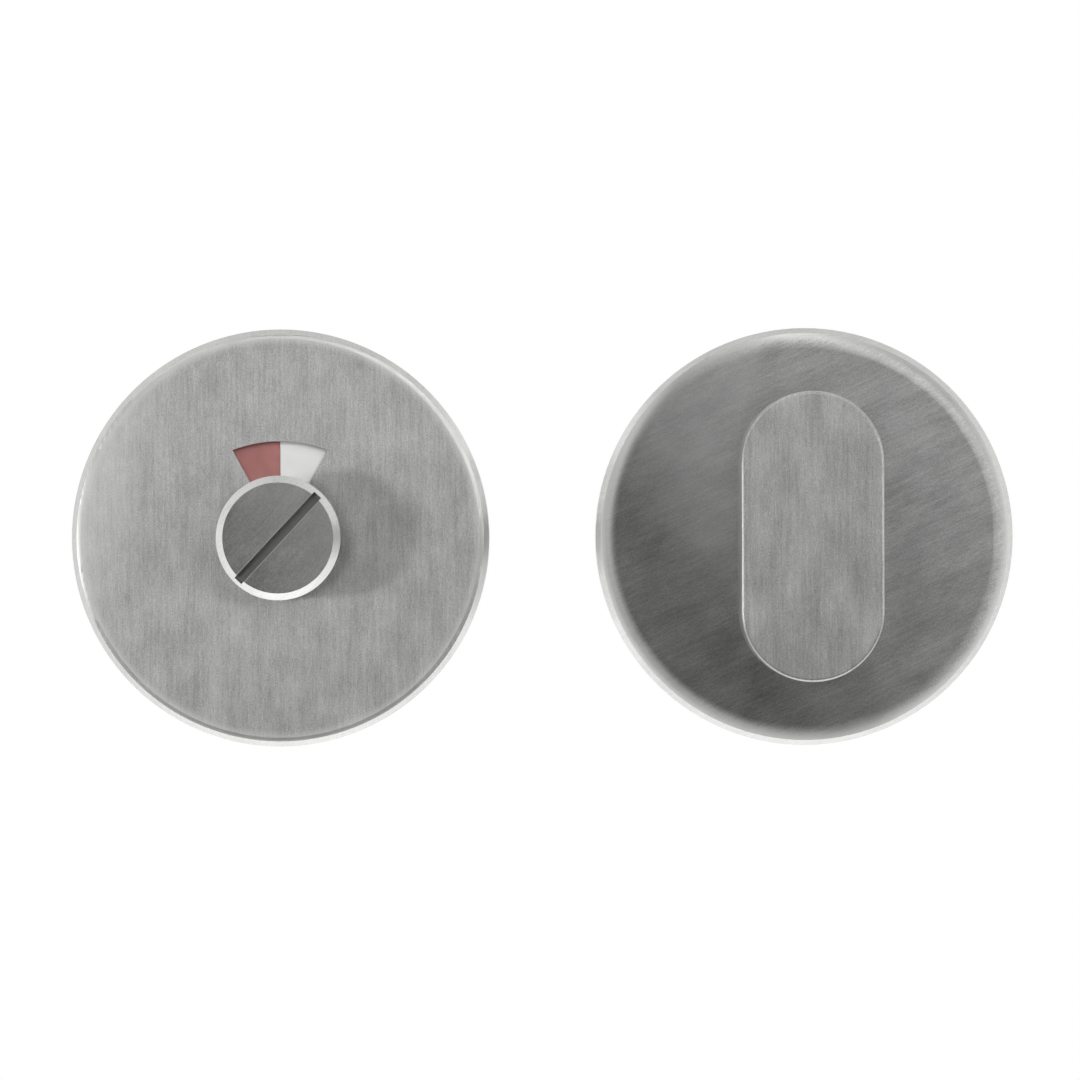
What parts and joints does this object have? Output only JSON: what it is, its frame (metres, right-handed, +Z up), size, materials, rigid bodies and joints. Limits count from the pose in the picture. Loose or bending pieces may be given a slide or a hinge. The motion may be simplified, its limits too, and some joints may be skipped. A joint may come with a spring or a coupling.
{
  "type": "bathroom thumb turn lock",
  "caption": "Bathroom door lock set: a round rose with an oblong thumb turn on a through spindle, and a round release rose with a coin-slotted knob and a red and white indicator window.",
  "frame": {"origin": "on the thumb turn's axis, in the plane of the door face that both roses sit on", "axes": "+Z up, +Y from the user into the door along the turning axes, +X from the release half to the thumb turn half"},
  "size_m": [0.1173, 0.0723, 0.052],
  "materials": {
    "cover_steel": "line-brushed stainless steel",
    "grip_steel": "line-brushed solid stainless steel",
    "bush_plastic": "turned dark acetal",
    "base_plastic": "moulded dark glass-filled nylon",
    "indicator_white": "moulded white plastic, satin",
    "indicator_red": "dull red plastic sheet",
    "plated_steel": "bright zinc-plated steel",
    "spring_steel": "rolled spring steel",
    "black_steel": "blackened steel"
  },
  "bodies": {
    "roses": {"turn_cover": "cover_steel", "turn_bush": "bush_plastic", "turn_stop_pin": "plated_steel", "turn_base": "base_plastic", "fixing_screws": "plated_steel", "release_cover": "cover_steel", "release_bush": "bush_plastic", "release_stop_pin": "plated_steel", "release_base": "base_plastic", "sleeve_nuts": "plated_steel"},
    "thumb_turn": {"turn_grip": "grip_steel", "turn_grub_screw": "black_steel", "turn_stop_plate": "spring_steel", "turn_spring_washer": "spring_steel", "turn_circlip": "black_steel", "spindle": "plated_steel"},
    "release_turn": {"release_knob": "grip_steel", "indicator_disc": "indicator_white", "indicator_red": "indicator_red", "release_spring_washer": "spring_steel", "release_circlip": "black_steel"}
  },
  "joints": [
    {"name": "thumb_turn_pivot", "type": "hinge", "parent": "roses", "child": "thumb_turn", "pos_m": [0, 0, 0], "axis": [0, 1, 0], "range_deg": [-90, 0]},
    {"name": "release_pivot", "type": "hinge", "parent": "roses", "child": "release_turn", "pos_m": [-0.0653, 0, 0], "axis": [0, 1, 0], "range_deg": [-43, 47]}
  ]
}
